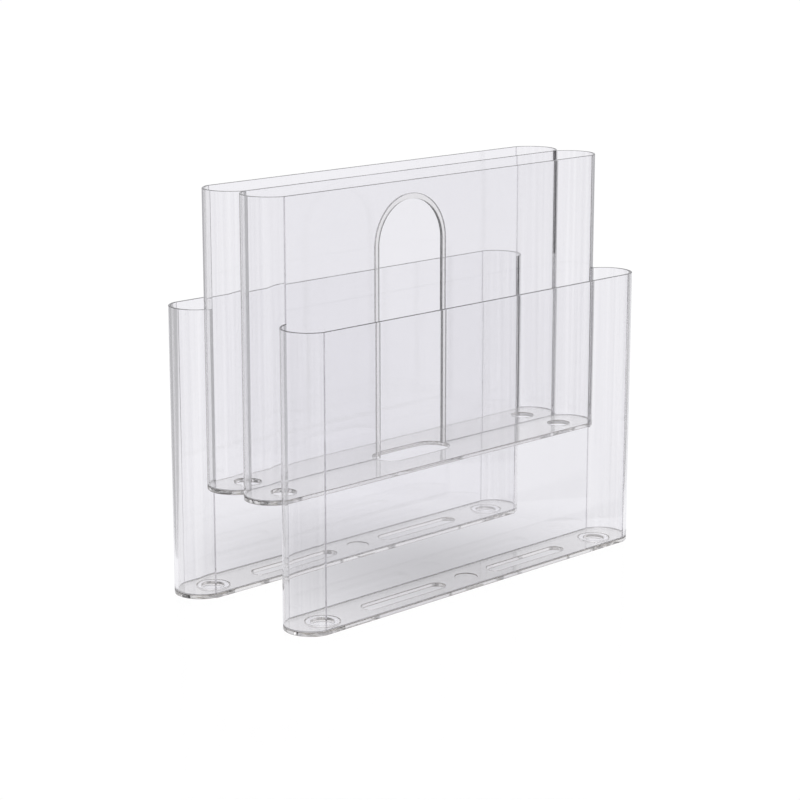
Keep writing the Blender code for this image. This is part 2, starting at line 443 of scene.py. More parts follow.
@dataclass
class Bench:
    """A node tree with short words for adding and joining its nodes."""

    tree: bpy.types.NodeTree

    def join(self, source: bpy.types.NodeSocket, target: bpy.types.NodeSocket) -> None:
        """Run a link from an output to an input."""
        self.tree.links.new(source, target)

    def feed(self, target: bpy.types.NodeSocket, source: Any) -> None:
        """Give an input a link, where the source is a socket, or else a plain value."""
        if isinstance(source, bpy.types.NodeSocket):
            self.join(source, target)
        else:
            target.default_value = source

    def add(self, kind: str, inputs: dict[Any, Any] | None = None, **settings: Any) -> bpy.types.Node:
        """Add a node.

        Args:
            kind: Blender's name for the node's type.
            inputs: A socket or a plain value for each input that is fed.
            **settings: The properties to set.

        Returns:
            The new node.
        """
        node = self.tree.nodes.new(kind)
        for name, value in settings.items():
            setattr(node, name, value)
        for name, value in (inputs or {}).items():
            self.feed(node.inputs[name], value)
        return node

    def sum(self, operation: str, first: Any, second: Any = 0.0, clamp: bool = False) -> bpy.types.NodeSocket:
        """Work out one number from one or two sockets or numbers, kept from 0 to 1 if clamped."""
        feeds = {0: first, 1: second}
        return self.add("ShaderNodeMath", feeds, operation=operation, use_clamp=clamp).outputs[0]

    def remap(
        self, value: Any, low: float, high: float, to_low: float = 0.0, to_high: float = 1.0
    ) -> bpy.types.NodeSocket:
        """Stretch the range from low to high onto the one from to_low to to_high, clamped."""
        ends = {"From Min": low, "From Max": high, "To Min": to_low, "To Max": to_high}
        return self.add("ShaderNodeMapRange", {"Value": value, **ends}, clamp=True).outputs["Result"]

    def mix(self, factor: Any, first: Any, second: Any, kind: str = "RGBA") -> bpy.types.NodeSocket:
        """Blend two colours, or two numbers if the kind is FLOAT."""
        feeds = {"Factor": factor, "A": first, "B": second}
        return self.add("ShaderNodeMix", feeds, data_type=kind).outputs["Result"]

    def noise(self, place: Any, stretch: Any, detail: float, roughness: float = 0.5) -> bpy.types.NodeSocket:
        """Soft noise over a place whose axes are each stretched by their own factor."""
        scaled = self.add("ShaderNodeVectorMath", {0: place, 1: stretch}, operation="MULTIPLY").outputs[0]
        feeds = {"Vector": scaled, "Scale": 1.0, "Detail": detail, "Roughness": roughness}
        return self.add("ShaderNodeTexNoise", feeds).outputs["Fac"]


def new_group(name: str, inputs: dict[str, Any], output: str, kind: str) -> tuple[Bench, Any, Any]:
    """Start a shader node group.

    Args:
        name: The group's name.
        inputs: For each input, its default: a number, a colour of four numbers, or None for a vector.
        output: Name of its output.
        kind: The output's socket type.

    Returns:
        A bench on the group, its input sockets and its output socket.
    """
    tree = bpy.data.node_groups.new(name, "ShaderNodeTree")
    for socket_name, default in inputs.items():
        taken = "Vector" if default is None else "Float" if isinstance(default, float) else "Color"
        socket = tree.interface.new_socket(socket_name, in_out="INPUT", socket_type="NodeSocket" + taken)
        if default is not None:
            socket.default_value = default
    tree.interface.new_socket(output, in_out="OUTPUT", socket_type=kind)
    bench = Bench(tree)
    source = bench.add("NodeGroupInput").outputs
    return bench, source, bench.add("NodeGroupOutput").inputs[output]


def flow_ripple() -> bpy.types.NodeTree:
    """The long, shallow waves that sheet and rolled acrylic keep from their making.

    Returns:
        A group whose Height runs about from -0.5 to 0.5.
    """
    inputs = {"Position": None, "Waves": None}
    bench, source, height = new_group("flow_ripple", inputs, "Height", "NodeSocketFloat")
    waves = bench.noise(source["Position"], source["Waves"], detail=1.0, roughness=0.35)
    bench.join(bench.sum("SUBTRACT", waves, 0.5), height)
    return bench.tree


def wipe_haze() -> bpy.types.NodeTree:
    """The thin film and the specks that handling and a dry cloth leave.

    Returns:
        A group whose Mask is 0 on clean plastic and 1 in the thickest film.
    """
    inputs = {"Position": None, "Patches": 9.0, "Specks": 260.0, "Speck Share": 0.35}
    bench, source, mask = new_group("wipe_haze", inputs, "Mask", "NodeSocketFloat")
    place = source["Position"]
    look = {"Vector": place, "Scale": source["Patches"], "Detail": 4.0, "Distortion": 0.8}
    patch = bench.remap(bench.add("ShaderNodeTexNoise", look).outputs["Fac"], 0.48, 0.75)
    cells = bench.add("ShaderNodeTexVoronoi", {"Vector": place, "Scale": source["Specks"]})
    speck = bench.remap(cells.outputs["Distance"], 0.05, 0.16, 1.0, 0.0)
    specks = bench.sum("MULTIPLY", speck, source["Speck Share"])
    bench.join(bench.sum("MAXIMUM", patch, specks, clamp=True), mask)
    return bench.tree


def hairlines() -> bpy.types.NodeTree:
    """Fine scuffs, longest the way that magazines slide in and out.

    Returns:
        A group whose Mask is 1 in a scuff.
    """
    inputs = {"Position": None, "Strands": None, "Patches": 22.0}
    bench, source, mask = new_group("hairlines", inputs, "Mask", "NodeSocketFloat")
    strands = bench.noise(source["Position"], source["Strands"], detail=2.0)
    worn = bench.add("ShaderNodeTexNoise", {"Vector": source["Position"], "Scale": source["Patches"]})
    line, where = bench.remap(strands, 0.66, 0.72), bench.remap(worn.outputs["Fac"], 0.42, 0.62)
    bench.join(bench.sum("MULTIPLY", line, where), mask)
    return bench.tree


def tint_drift() -> bpy.types.NodeTree:
    """A colour that drifts a little over the piece, and turns to a painted shade on cut edges: the dark lines
    that refraction draws along the edges of clear acrylic. Where the drift is stretched into narrow upright
    streaks, it is painted reflection streaks.

    Returns:
        A group that puts out the Colour.
    """
    inputs = {"Position": None, "Turns": None, "Edge": 0.0}
    inputs |= {"Face Tint": WHITE, "Drift Tint": WHITE, "Edge Tint": WHITE}
    bench, source, colour = new_group("tint_drift", inputs, "Colour", "NodeSocketColor")
    share = bench.remap(bench.noise(source["Position"], source["Turns"], detail=2.0), 0.35, 0.65)
    faces = bench.mix(share, source["Face Tint"], source["Drift Tint"])
    bench.join(bench.mix(source["Edge"], faces, source["Edge Tint"]), colour)
    return bench.tree


@dataclass
class SurfaceEffects:
    """The shader groups that the finishes share, each built once."""

    ripple: bpy.types.NodeTree = field(default_factory=flow_ripple)
    haze: bpy.types.NodeTree = field(default_factory=wipe_haze)
    scuffs: bpy.types.NodeTree = field(default_factory=hairlines)
    # Tone drift, painted reflection streaks and painted shade on cut edges.
    drift: bpy.types.NodeTree = field(default_factory=tint_drift)


# Finishes


def rgba(tint: Tint) -> tuple[float, float, float, float]:
    """A tint with its alpha."""
    return (*tint, 1.0)


def see_through(name: str, ior: float) -> tuple[bpy.types.Material, Bench, bpy.types.Node]:
    """Start a clear material.

    Args:
        name: The material's name.
        ior: Refractive index.

    Returns:
        The material, a bench on its nodes, and its shader.
    """
    made = bpy.data.materials.new(name)
    made.use_nodes = True
    shader = made.node_tree.nodes["Principled BSDF"]
    for socket, value in (("Metallic", 0.0), ("Transmission Weight", 1.0), ("IOR", ior)):
        shader.inputs[socket].default_value = value
    return made, Bench(made.node_tree), shader


@dataclass(frozen=True)
class ClearAcrylic:
    """Water-clear acrylic, polished.

    Attributes:
        slot: The record's slot that it stands for.
        face_tint: Colour of its faces.
        drift_tint: Colour that the faces drift to. Where the drift runs in narrow upright streaks, as on the
            rolled ends, it is painted reflection streaks.
        drift: How often the drift turns per metre, along each axis.
        edge_tint: Colour of its cut edges.
        roughness: Roughness of a clean face.
        edge_roughness: Roughness of a cut and polished edge.
        film_roughness: Roughness where it has been handled.
        scuff_roughness: Roughness in a scuff.
        scuff_strands: How often the scuffs' pattern turns per metre, along each axis.
        ripple: Depth of its waves, in metres.
        waves: Waves per metre, along each axis.
        ior: Refractive index.
    """

    slot: Slot
    face_tint: Tint = (0.970, 0.969, 0.976)
    drift_tint: Tint = (0.960, 0.959, 0.967)
    drift: Axes = (7.0, 7.0, 7.0)
    edge_tint: Tint = (0.24, 0.235, 0.24)
    roughness: float = 0.004
    edge_roughness: float = 0.06
    film_roughness: float = 0.018
    scuff_roughness: float = 0.05
    scuff_strands: Axes = (14.0, 900.0, 900.0)
    ripple: float = 0.000025
    waves: Axes = (45.0, 45.0, 3.0)
    ior: float = 1.49

    def material(self, effects: SurfaceEffects) -> bpy.types.Material:
        """Build the material.

        Args:
            effects: The shared shader groups.

        Returns:
            The material.
        """
        made, bench, shader = see_through(self.slot.value, self.ior)
        place = {"Position": bench.add("ShaderNodeTexCoord").outputs["Object"]}
        edge = bench.add("ShaderNodeAttribute", attribute_name=EDGE_MARK).outputs["Fac"]

        tints = {"Face Tint": rgba(self.face_tint), "Drift Tint": rgba(self.drift_tint)}
        # The edge colour is painted shade along the cut edges.
        tints |= {"Edge Tint": rgba(self.edge_tint), "Edge": edge, "Turns": self.drift}
        tint = bench.add("ShaderNodeGroup", place | tints, node_tree=effects.drift)
        bench.join(tint.outputs["Colour"], shader.inputs["Base Color"])

        haze = bench.add("ShaderNodeGroup", place, node_tree=effects.haze).outputs["Mask"]
        film = bench.remap(haze, 0.0, 1.0, self.roughness, self.film_roughness)
        strands = place | {"Strands": self.scuff_strands}
        scuffs = bench.add("ShaderNodeGroup", strands, node_tree=effects.scuffs).outputs["Mask"]
        worn = bench.sum("MAXIMUM", film, bench.sum("MULTIPLY", scuffs, self.scuff_roughness))
        cut = bench.sum("MULTIPLY", edge, self.edge_roughness)
        bench.join(bench.sum("MAXIMUM", worn, cut), shader.inputs["Roughness"])

        waves = bench.add("ShaderNodeGroup", place | {"Waves": self.waves}, node_tree=effects.ripple)
        height = {"Strength": 1.0, "Distance": self.ripple, "Height": waves.outputs["Height"]}
        bench.join(bench.add("ShaderNodeBump", height).outputs["Normal"], shader.inputs["Normal"])
        return made


@dataclass(frozen=True)
class CementJoint:
    """The faces that are cemented to a neighbour.

    Cement fills a joint, so light goes straight through it and only loses a little. It loses most at a
    crease or a floor, and next to none where two ends lie back to back.

    Attributes:
        tint: Share of the light that gets through a joint.
        pale_tint: The same where the cement ran thin.
        back_tint: The same where two ends lie back to back.
        flow: How often the cement's pattern turns per metre.
        ior: Refractive index against the neighbour.
    """

    tint: Tint = (0.66, 0.65, 0.67)
    pale_tint: Tint = (0.78, 0.77, 0.785)
    back_tint: Tint = (0.98, 0.98, 0.98)
    flow: float = 60.0
    ior: float = 1.0

    def material(self) -> bpy.types.Material:
        """Build the material."""
        made, bench, shader = see_through("cement_joint", self.ior)
        shader.inputs["Roughness"].default_value = 0.0
        place = bench.add("ShaderNodeTexCoord").outputs["Object"]
        flow = bench.add("ShaderNodeTexNoise", {"Vector": place, "Scale": self.flow, "Detail": 3.0})
        thin = bench.remap(flow.outputs["Fac"], 0.4, 0.7)
        joint = bench.mix(thin, rgba(self.tint), rgba(self.pale_tint))
        edge = bench.add("ShaderNodeAttribute", attribute_name=EDGE_MARK).outputs["Fac"]
        bench.join(bench.mix(edge, rgba(self.back_tint), joint), shader.inputs["Base Color"])
        return made


@dataclass
class Finishes:
    """Every material of the rack, built once."""

    made: dict[Slot, bpy.types.Material] = field(default_factory=dict)
    joint: bpy.types.Material | None = None

    def __post_init__(self) -> None:
        """Build the finishes."""
        effects = SurfaceEffects()
        kinds = (
            ClearAcrylic(Slot.PANE),
            ClearAcrylic(
                Slot.END,
                # The rolled ends are painted with narrow upright streaks, lighter and darker: painted
                # reflections of lights in the curved faces. Their near-black edge colour is painted shade
                # along the rims.
                face_tint=(1.0, 1.0, 1.0),
                drift_tint=(0.918, 0.916, 0.923),
                drift=(260.0, 260.0, 3.0),
                edge_tint=(0.045, 0.043, 0.045),
                ripple=0.00006,
                waves=(110.0, 110.0, 2.0),
            ),
            ClearAcrylic(
                Slot.FLOOR,
                # The floors' darker grey is painted shade on the same clear acrylic as the panes. Their dark
                # edge colour is painted shade along the cut edges, with a brownish cast.
                face_tint=(0.875, 0.872, 0.862),
                drift_tint=(0.845, 0.840, 0.828),
                edge_tint=(0.24, 0.215, 0.18),
                film_roughness=0.03,
                scuff_roughness=0.09,
            ),
            ClearAcrylic(
                Slot.RIM,
                face_tint=(0.935, 0.930, 0.920),
                drift_tint=(0.900, 0.895, 0.880),
                edge_tint=(0.90, 0.87, 0.84),
                ripple=0.00002,
            ),
            ClearAcrylic(Slot.RING, edge_tint=(0.90, 0.89, 0.88), ripple=0.00002),
        )
        for kind in kinds:
            self.made[kind.slot] = kind.material(effects)
        self.joint = CementJoint().material()


# Pieces


def never(middle: Vector, normal: Vector) -> bool:
    """No face at all."""
    return False


@dataclass
class Workshop:
    """Turns a finished mesh into a dressed piece of the rack.

    Attributes:
        finishes: The materials.
        made: Names of the pieces made so far.
    """

    finishes: Finishes
    made: list[str] = field(default_factory=list)

    def finish(
        self,
        name: str,
        mesh: bpy.types.Mesh,
        slot: Slot,
        nodes: Sequence[str],
        is_edge: FaceTest,
        cemented: FaceTest = never,
    ) -> None:
        """Shade, dress and place a piece.

        Args:
            name: Name of the piece.
            mesh: Its closed mesh, in the frame's coordinates.
            slot: The record's slot of its finish.
            nodes: The frame's nodes that it stands for.
            is_edge: Says of a face's middle and normal whether it is a cut edge.
            cemented: Says the same of a face that is glued to a neighbour.
        """
        mesh.name = name
        mesh.shade_smooth()
        mesh.set_sharp_from_angle(angle=SMOOTH_ANGLE)
        rough = add_object(name + "_rough", mesh)
        weighted = rough.modifiers.new("Flat faces stay flat", "WEIGHTED_NORMAL")
        weighted.keep_sharp = True
        settled = plain_mesh(rough)
        bpy.data.objects.remove(rough)
        settled.name = name
        settled.materials.clear()
        settled.materials.append(self.finishes.made[slot])
        settled.materials.append(self.finishes.joint)
        mark = settled.attributes.new(EDGE_MARK, "FLOAT", "FACE")
        for face in settled.polygons:
            face.material_index = int(cemented(face.center, face.normal))
            mark.data[face.index].value = float(is_edge(face.center, face.normal))
        piece = add_object(name, settled)
        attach(piece, BODY)
        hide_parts(*nodes)
        self.made.append(name)
        log.info("%s: %d faces, stands for %s", name, len(settled.polygons), ", ".join(nodes))


@dataclass
class SawnPanes:
    """Flat panes that are sawn square at the creases, where the rolled ends are cemented on.

    Attributes:
        plan: The rack's sizes.
        shop: Where the pieces are dressed.
        rounding: Radius of the polished edges.
    """

    plan: RackPlan
    shop: Workshop
    rounding: float = 0.0005

    def pane(self, name: str, y: float, foot: float, top: float, notch: Sequence[Point] = ()) -> None:
        """Make one pane.

        Args:
            name: Its name, and that of the node that it stands for.
            y: Y of its middle plane.
            foot: Height of its lower edge.
            top: Height of its rim.
            notch: Outline of what is cut out from below, from left to right.
        """
        end_x = self.plan.crease_x - CEMENT / 2
        blank_x = end_x + 2 * self.rounding
        outline = [(blank_x, foot), (blank_x, top), (-blank_x, top), (-blank_x, foot), *notch]
        place = Matrix.Translation((0.0, y, 0.0)) @ STAND_UP
        mesh = rounded_plate([outline], self.plan.pane, self.rounding, place)
        for side in Side:
            saw(mesh, side.value * end_x, side.value)

        def is_edge(middle: Vector, normal: Vector) -> bool:
            """Everything but the two broad faces."""
            return abs(normal.y) < FLAT

        def cemented(middle: Vector, normal: Vector) -> bool:
            """The sawn ends and the foot."""
            at_floor = normal.z < FACING_DOWN and middle.z < foot + self.rounding
            return abs(middle.x) > end_x - WELD or at_floor

        self.shop.finish(name, mesh, Slot.PANE, [name], is_edge, cemented)


@dataclass
class OuterAndSharedPanes(SawnPanes):
    """The four flat panes in front of and behind the middle one."""

    def build(self) -> None:
        """Make the outer and the shared panes."""
        plan = self.plan
        foot = plan.foot_of(Tier.LOW)
        for row in Row:
            outer_y = row.value * (2 * plan.pitch - plan.pane / 2)
            self.pane(f"outer_wall_{row.word}", outer_y, foot, plan.low_top)
            self.pane(f"shared_wall_{row.word}", row.value * plan.pitch, foot, plan.raised_top)


@dataclass
class RolledEnds:
    """The eight rolled panes that close the ends of the pockets.

    Where two ends share a pane, each takes half of its thickness. Where an end has the pane to itself,
    it takes all of it. Either way the last stretch of its outer face flares to meet the pane's face.

    Attributes:
        plan: The rack's sizes.
        shop: Where the pieces are dressed.
        rounding: Radius of the polished rims.
        flare: Length of the flare.
        flare_steps: Chords in the flare.
        steps: Chords in an arc.
        rim_tilt: How far a face leans from upright before it counts as a rim.
    """

    plan: RackPlan
    shop: Workshop
    rounding: float = 0.0004
    flare: float = 0.0120
    flare_steps: int = 20
    steps: int = 96
    rim_tilt: float = 0.2

    def build(self) -> None:
        """Make every end."""
        for tier in Tier:
            for row in Row:
                for side in Side:
                    self.close_off(End(tier, row, side))

    def flared(self, arc: Outline, crease_x: float, face_y: float) -> Outline:
        """Let the start of an arc run out to a pane's face.

        Args:
            arc: The arc, from the crease on.
            crease_x: X of the crease.
            face_y: Y of the pane's face.

        Returns:
            The arc with the flare in place of its first stretch.
        """
        half = len(arc) // 2
        kept = [point for point in arc[:half] if abs(point[0] - crease_x) >= self.flare] + arc[half:]
        (end_x, end_y), (next_x, next_y) = kept[0], kept[1]
        reach = end_x - crease_x
        end_slope = (next_y - end_y) / (next_x - end_x)
        start_slope = 2 * (end_y - face_y) / reach - end_slope
        points = []
        for step in range(self.flare_steps):
            out = reach * step / self.flare_steps
            bend = (end_slope - start_slope) / (2 * reach) * out**2
            points.append((crease_x + out, face_y + start_slope * out + bend))
        return points + kept

    def outline(self, end: End) -> Outline:
        """Closed plan of one end, with a little waste past the crease."""
        plan, row, side = self.plan, end.row.value, end.side.value
        crease = side * (plan.crease_x + CEMENT / 2)
        waste_x = crease - side * 2 * self.rounding
        outer = plan.arc(end, self.steps)
        inner = plan.arc(end, self.steps, inside=True)
        half = plan.pane / 2
        if end.tier is Tier.LOW:
            outer = self.flared(outer, crease, row * (plan.pitch - half))
        else:
            outer = self.flared(outer, crease, -row * half)
            outer = self.flared(outer[::-1], crease, row * (plan.pitch + half))[::-1]
            outer = [(x, row * max(row * y, CEMENT / 2)) for x, y in outer]
        outer = [(waste_x, outer[0][1]), *outer, (waste_x, outer[-1][1])]
        inner = [(waste_x, inner[0][1]), *inner, (waste_x, inner[-1][1])]
        return outer + inner[::-1]

    def neighbour(self, end: End) -> bpy.types.Mesh:
        """A box of the space that an end leaves to the other tier's end across a shared pane."""
        plan = self.plan
        wide = 2 * plan.tip_x
        if end.tier is Tier.LOW:
            near, far = plan.pitch + CEMENT / 2, 0.0
            low_z, high_z = plan.raised_floor_bottom - plan.joint_gap, 2 * plan.raised_top
        else:
            near, far = plan.pitch - CEMENT / 2, 2 * plan.pitch
            low_z, high_z = -plan.raised_top, plan.low_top + plan.joint_gap
        low_y, high_y = sorted((end.row.value * near, end.row.value * far))
        return box_mesh(Vector((-wide, low_y, low_z)), Vector((wide, high_y, high_z)))

    def close_off(self, end: End) -> None:
        """Make one end."""
        plan = self.plan
        foot = plan.foot_of(end.tier)
        crease = plan.crease_x + CEMENT / 2
        mesh = lying_plate([self.outline(end)], foot, plan.top_of(end.tier), self.rounding)
        saw(mesh, end.side.value * crease, -end.side.value)
        mesh = carved(mesh, self.neighbour(end))

        def is_edge(middle: Vector, normal: Vector) -> bool:
            """The rims, and the face at the crease."""
            return abs(normal.z) > self.rim_tilt or abs(middle.x) < crease + WELD

        def cemented(middle: Vector, normal: Vector) -> bool:
            """The faces at the pane, at the floor and at the other half."""
            at_pane = abs(middle.x) < crease + WELD
            at_floor = normal.z < FACING_DOWN and middle.z < foot + self.rounding
            halfway = min(abs(abs(middle.y) - plan.pitch), abs(middle.y)) < CEMENT
            return at_pane or at_floor or (halfway and abs(normal.y) > SQUARE_ON)

        self.shop.finish(end.name, mesh, Slot.END, [end.name], is_edge, cemented)


@dataclass
class Floors:
    """The two low floors and the raised one.

    Attributes:
        plan: The rack's sizes.
        shop: Where the pieces are dressed.
        rounding: Radius of the polished edges.
        slot_x: Distance of a slot's middle from the rack's middle.
        slot_half_length: Half of a slot's length.
        slot_radius: Half of a slot's width.
        hole_radius: Radius of the raised floor's end holes.
        hand_half_length: Half of the length of the opening under the handle.
        hand_radius: Half of its width.
        dimple_radius: Radius of the shallow round mark.
        dimple_depth: Its depth.
        steps: Chords in a rolled end's outline, and in a round hole.
        edge_tilt: How far a face leans from upright before it counts as a polished edge.
    """

    plan: RackPlan
    shop: Workshop
    rounding: float = 0.0005
    slot_x: float = 0.0750
    slot_half_length: float = 0.0465
    slot_radius: float = 0.0075
    hole_radius: float = 0.0100
    hand_half_length: float = 0.0410
    hand_radius: float = 0.0160
    dimple_radius: float = 0.0100
    dimple_depth: float = 0.0006
    steps: int = 72
    edge_tilt: float = 0.15

    def build(self) -> None:
        """Make the three floors."""
        for row in Row:
            self.low(row)
        self.raised()

    def dress(self, name: str, mesh: bpy.types.Mesh) -> None:
        """Dress a floor. Only its rounded edges count as cut."""

        def is_edge(middle: Vector, normal: Vector) -> bool:
            """The rounded edges."""
            return self.edge_tilt < abs(normal.z) < FLAT

        self.shop.finish(name, mesh, Slot.FLOOR, [name], is_edge)

    def low(self, row: Row) -> None:
        """Make the floor of one low pocket."""
        plan = self.plan
        under_shared = row.value * (plan.pitch - plan.pane / 2)
        strip_end = plan.crease_x + plan.joint_gap / 2
        right = plan.arc(End(Tier.LOW, row, Side.RIGHT), self.steps)
        left = plan.arc(End(Tier.LOW, row, Side.LEFT), self.steps)[::-1]
        outlines = [[(strip_end, under_shared), *right, *left, (-strip_end, under_shared)]]
        seat = plan.ring_radius + plan.joint_gap
        middle_y = row.value * plan.ring_y
        for side in Side:
            slot_x = side.value * self.slot_x
            outlines.append(circle(seat, side.value * plan.ring_x, middle_y, self.steps))
            slot = stadium(self.slot_half_length, self.slot_radius, slot_x, middle_y, self.steps // 2)
            outlines.append(slot)
        top = plan.low_floor_top
        mesh = lying_plate(outlines, plan.ground, top, self.rounding)
        height = 4 * self.dimple_depth
        place = Vector((0.0, middle_y, top - self.dimple_depth + height / 2))
        self.dress(f"low_floor_{row.word}", carved(mesh, self.dimple_tool(height), place))

    def dimple_tool(self, height: float) -> bpy.types.Mesh:
        """A cone of that height, whose lower end sinks the shallow round mark into a floor."""
        tool = bpy.data.meshes.new("dimple_tool")
        low, high = self.dimple_radius - self.dimple_depth, self.dimple_radius + 3 * self.dimple_depth
        ends = {"radius1": low, "radius2": high, "depth": height}
        with opened(tool) as shape:
            bmesh.ops.create_cone(shape, cap_ends=True, segments=self.steps, **ends)
        return tool

    def raised(self) -> None:
        """Make the one plate under both raised pockets."""
        plan = self.plan
        side_y = plan.pitch - plan.pane / 2 - plan.joint_gap
        shoulder_x = plan.crease_x + plan.joint_gap / 2
        outline: Outline = []
        holes: list[Outline] = []
        for side in (Side.RIGHT, Side.LEFT):
            front = plan.arc(End(Tier.RAISED, Row.FRONT, side), self.steps)[::-1]
            scallops = front + plan.arc(End(Tier.RAISED, Row.BACK, side), self.steps)
            outline.append((side.value * shoulder_x, -side.value * side_y))
            outline += scallops[:: side.value]
            outline.append((side.value * shoulder_x, side.value * side_y))
            for row in Row:
                hole_x, hole_y = side.value * plan.ring_x, row.value * plan.pitch / 2
                holes.append(circle(self.hole_radius, hole_x, hole_y, self.steps))
        holes.append(stadium(self.hand_half_length, self.hand_radius, 0.0, 0.0, self.steps // 2))
        low_z, high_z = plan.raised_floor_bottom, plan.raised_floor_top
        self.dress("raised_floor", lying_plate([outline, *holes], low_z, high_z, self.rounding))


@dataclass
class ShapeTree:
    """A geometry tree that grows one mesh from named values.

    Attributes:
        name: The tree's name.
        values: A length, a count or a material for each of its inputs.
    """

    name: str
    values: dict[str, Any]

    def __post_init__(self) -> None:
        """Start the tree and its inputs."""
        self.tree = bpy.data.node_groups.new(self.name, "GeometryNodeTree")
        self.sockets: dict[str, str] = {}
        for name, value in self.values.items():
            kind = "Float" if isinstance(value, float) else "Int" if isinstance(value, int) else "Material"
            socket = self.tree.interface.new_socket(name, in_out="INPUT", socket_type="NodeSocket" + kind)
            self.sockets[name] = socket.identifier
        self.tree.interface.new_socket("Geometry", in_out="OUTPUT", socket_type="NodeSocketGeometry")
        self.bench = Bench(self.tree)
        self.source = self.bench.add("NodeGroupInput").outputs

    def section(self, width: Any, height: Any, facets: int) -> bpy.types.NodeSocket:
        """A rectangle whose corners are rounded by the tree's Rounding.

        Args:
            width: Its width.
            height: Its height.
            facets: Facets in each corner.

        Returns:
            The curve's socket.
        """
        box = self.bench.add("GeometryNodeCurvePrimitiveQuadrilateral", {"Width": width, "Height": height})
        feeds = {"Count": facets, "Curve": box.outputs["Curve"], "Radius": self.source["Rounding"]}
        return self.bench.add("GeometryNodeFilletCurve", feeds, mode="POLY").outputs["Curve"]

    def grow(self, shape: bpy.types.NodeSocket) -> bpy.types.Mesh:
        """End the tree at a shape, run it and keep the result as a plain mesh.

        Args:
            shape: The geometry.

        Returns:
            The closed mesh.
        """
        bench = self.bench
        real = bench.add("GeometryNodeRealizeInstances", {"Geometry": shape}).outputs["Geometry"]
        dress = {"Geometry": real, "Material": self.source["Finish"]}
        dressed = bench.add("GeometryNodeSetMaterial", dress).outputs["Geometry"]
        bench.join(dressed, bench.add("NodeGroupOutput").inputs["Geometry"])
        holder = add_object(self.name + "_holder", bpy.data.meshes.new(self.name))
        modifier = holder.modifiers.new(self.name, "NODES")
        modifier.node_group = self.tree
        for name, value in self.values.items():
            modifier[self.sockets[name]] = value
        holder.update_tag()
        bpy.context.view_layer.update()
        mesh = plain_mesh(holder)
        holder.modifiers.remove(modifier)
        bpy.data.objects.remove(holder)
        close_up(mesh)
        return mesh


@dataclass
class HandlePane(SawnPanes):
    """The centre pane, and the bead that lines the handle cut out of it.

    Attributes:
        bead_width: Width of the bead in the pane's plane.
        bead_rounding: Radius of the bead's edges.
        bead_facets: Facets in each of them.
        steps: Chords in the arch.
        path_points: Points along the bead.
    """

    bead_width: float = 0.0030
    bead_rounding: float = 0.0009
    bead_facets: int = 5
    steps: int = 96
    path_points: int = 420

    def build(self) -> None:
        """Make the pane and the bead."""
        plan = self.plan
        foot = plan.foot_of(Tier.RAISED)
        notch = arch(plan.handle_outer + plan.joint_gap, foot, plan.spring_z, self.steps)
        self.pane("centre_wall", 0.0, foot, plan.raised_top, notch)
        self.bead(foot)

    def bead(self, foot: float) -> None:
        """Run a rounded bar along an upside-down U, from one foot over the arch to the other.

        Args:
            foot: Height of its feet.
        """
        plan = self.plan
        values = {
            "Half Width": plan.handle_outer - self.bead_width / 2,
            "Foot Height": foot,
            "Spring Height": plan.spring_z,
            "Bead Width": self.bead_width,
            "Bead Depth": plan.handle_depth,
            "Rounding": self.bead_rounding,
            "Points": self.path_points,
            "Finish": self.shop.finishes.made[Slot.RIM],
        }
        tree = ShapeTree("handle_bead", values)
        bench, source = tree.bench, tree.source
        half_width = source["Half Width"]
        leg = bench.sum("SUBTRACT", source["Spring Height"], source["Foot Height"])
        bend = bench.sum("MULTIPLY", half_width, math.pi)
        length = bench.sum("ADD", bench.sum("MULTIPLY", leg, 2.0), bend)
        along = bench.sum("MULTIPLY", bench.add("GeometryNodeSplineParameter").outputs["Factor"], length)
        past_leg = bench.sum("SUBTRACT", along, leg)
        round_the_arch = bench.sum("MINIMUM", bench.sum("MAXIMUM", past_leg, 0.0), bend)
        angle = bench.sum("DIVIDE", round_the_arch, half_width)
        x = bench.sum("MULTIPLY", bench.sum("COSINE", angle), bench.sum("MULTIPLY", half_width, -1.0))
        rise = bench.sum("MULTIPLY", bench.sum("SINE", angle), half_width)
        up = bench.sum("ADD", source["Foot Height"], bench.sum("MINIMUM", along, leg))
        down = bench.sum("MAXIMUM", bench.sum("SUBTRACT", past_leg, bend), 0.0)
        z = bench.sum("ADD", up, bench.sum("SUBTRACT", rise, down))
        spot = bench.add("ShaderNodeCombineXYZ", {"X": x, "Z": z}).outputs[0]
        line = bench.add("GeometryNodeCurvePrimitiveLine", {"End": (0.0, 0.0, 1.0)}).outputs["Curve"]
        points = bench.add("GeometryNodeResampleCurve", {"Curve": line, "Count": source["Points"]})
        path = bench.add("GeometryNodeSetPosition", {"Geometry": points.outputs["Curve"], "Position": spot})
        sweep = {
            "Curve": path.outputs["Geometry"],
            "Profile Curve": tree.section(source["Bead Depth"], source["Bead Width"], self.bead_facets),
            "Fill Caps": True,
        }
        mesh = tree.grow(bench.add("GeometryNodeCurveToMesh", sweep).outputs["Mesh"])

        def is_edge(middle: Vector, normal: Vector) -> bool:
            """The bead's two feet."""
            return normal.z < -FLAT and middle.z < foot + self.bead_width

        self.shop.finish("handle_rim", mesh, Slot.RIM, ["handle_rim"], is_edge)


